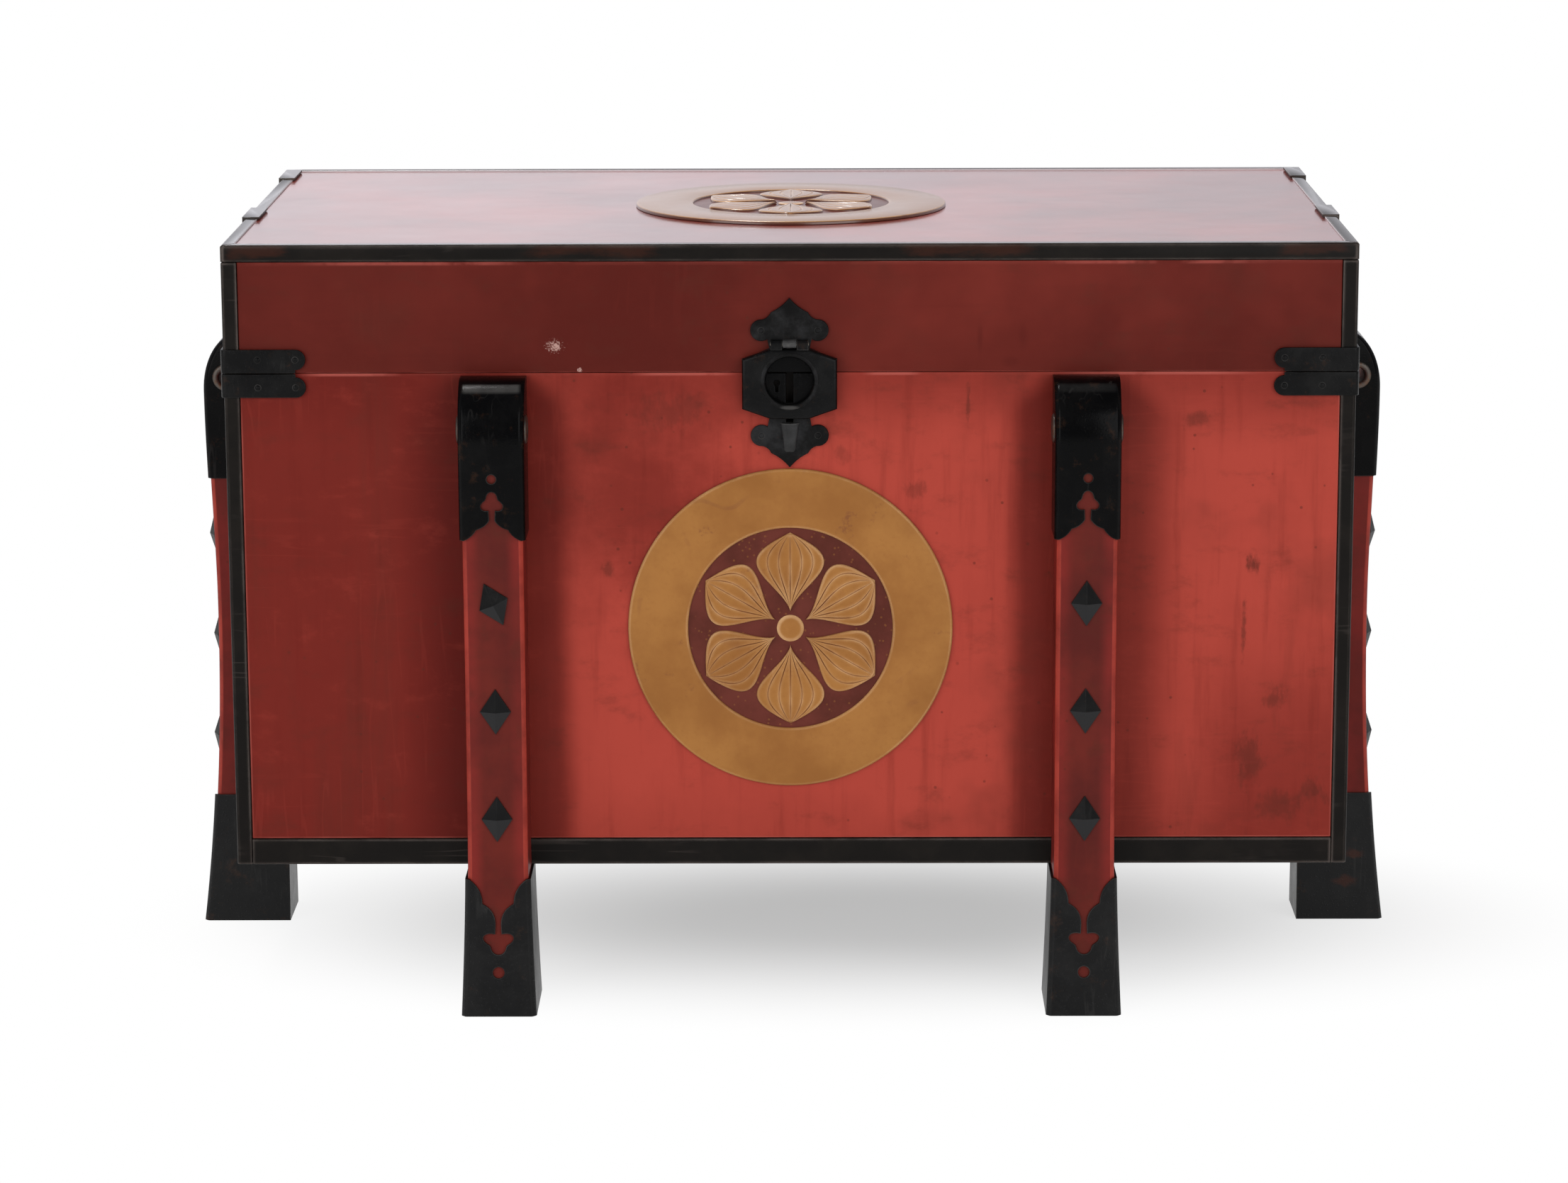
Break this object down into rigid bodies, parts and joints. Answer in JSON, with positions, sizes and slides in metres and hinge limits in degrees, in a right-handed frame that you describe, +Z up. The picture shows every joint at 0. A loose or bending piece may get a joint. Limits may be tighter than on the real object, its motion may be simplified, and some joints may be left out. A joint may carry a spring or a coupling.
{
  "type": "armor chest",
  "caption": "Lacquered armor chest on curved legs: lift-off lid, black metal caps, shoes and corner plates, a hinged hasp lock and gilt relief medallions.",
  "frame": {"origin": "middle of the chest's plan, on the floor under the soles", "axes": "+X along the width, to the right as seen from the front; -Y to the front; +Z up"},
  "size_m": [0.746, 0.456, 0.4543],
  "materials": {
    "red_lacquer": "worn gloss lacquer",
    "inner_lacquer": "satin lacquer",
    "black_lacquer": "worn gloss lacquer",
    "black_iron": "black lacquered sheet metal, satin",
    "worn_iron": "rubbed bare iron",
    "gilt_lacquer": "matt gilt relief"
  },
  "bodies": {
    "chest": {"bottom_board": "inner_lacquer", "front_board": "red_lacquer", "back_board": "red_lacquer", "left_board": "red_lacquer", "right_board": "red_lacquer", "lid_lip": "inner_lacquer", "corner_trim_front_left": "black_lacquer", "corner_trim_front_right": "black_lacquer", "corner_trim_back_left": "black_lacquer", "corner_trim_back_right": "black_lacquer", "base_rail_front": "black_lacquer", "base_rail_back": "black_lacquer", "base_rail_left": "black_lacquer", "base_rail_right": "black_lacquer", "leg_front_left": "red_lacquer", "leg_front_right": "red_lacquer", "leg_back_left": "red_lacquer", "leg_back_right": "red_lacquer", "leg_left": "red_lacquer", "leg_right": "red_lacquer", "leg_cap_front_left": "black_iron", "leg_cap_front_right": "black_iron", "leg_cap_back_left": "black_iron", "leg_cap_back_right": "black_iron", "leg_cap_left": "black_iron", "leg_cap_right": "black_iron", "foot_shoe_front_left": "black_iron", "foot_shoe_front_right": "black_iron", "foot_shoe_back_left": "black_iron", "foot_shoe_back_right": "black_iron", "foot_shoe_left": "black_iron", "foot_shoe_right": "black_iron", "box_bracket_front_left": "black_iron", "box_bracket_front_right": "black_iron", "box_bracket_back_left": "black_iron", "box_bracket_back_right": "black_iron", "lock_plate": "black_iron", "front_crest": "gilt_lacquer"},
    "lid": {"lid_top_board": "red_lacquer", "lid_front_board": "red_lacquer", "lid_back_board": "red_lacquer", "lid_left_board": "red_lacquer", "lid_right_board": "red_lacquer", "lid_corner_trim_front_left": "black_lacquer", "lid_corner_trim_front_right": "black_lacquer", "lid_corner_trim_back_left": "black_lacquer", "lid_corner_trim_back_right": "black_lacquer", "lid_top_trim_front": "black_lacquer", "lid_top_trim_back": "black_lacquer", "lid_top_trim_left": "black_lacquer", "lid_top_trim_right": "black_lacquer", "lid_bracket_front_left": "black_iron", "lid_bracket_front_right": "black_iron", "lid_bracket_back_left": "black_iron", "lid_bracket_back_right": "black_iron", "lid_crest": "gilt_lacquer", "hasp_hinge_plate": "black_iron", "hasp_pin": "worn_iron"},
    "hasp": {"hasp": "black_iron"},
    "lock_bolt": {"lock_bolt": "worn_iron"}
  },
  "joints": [
    {"name": "lid_lift", "type": "slide", "parent": "chest", "child": "lid", "axis": [0, 0, 1], "range_m": [0, 0.25]},
    {"name": "hasp_swing", "type": "hinge", "parent": "lid", "child": "hasp", "pos_m": [0, -0.1891, 0.395], "axis": [-1, 0, 0], "range_deg": [0, 165]},
    {"name": "bolt_throw", "type": "slide", "parent": "chest", "child": "lock_bolt", "axis": [1, 0, 0], "range_m": [0, 0.008]}
  ]
}
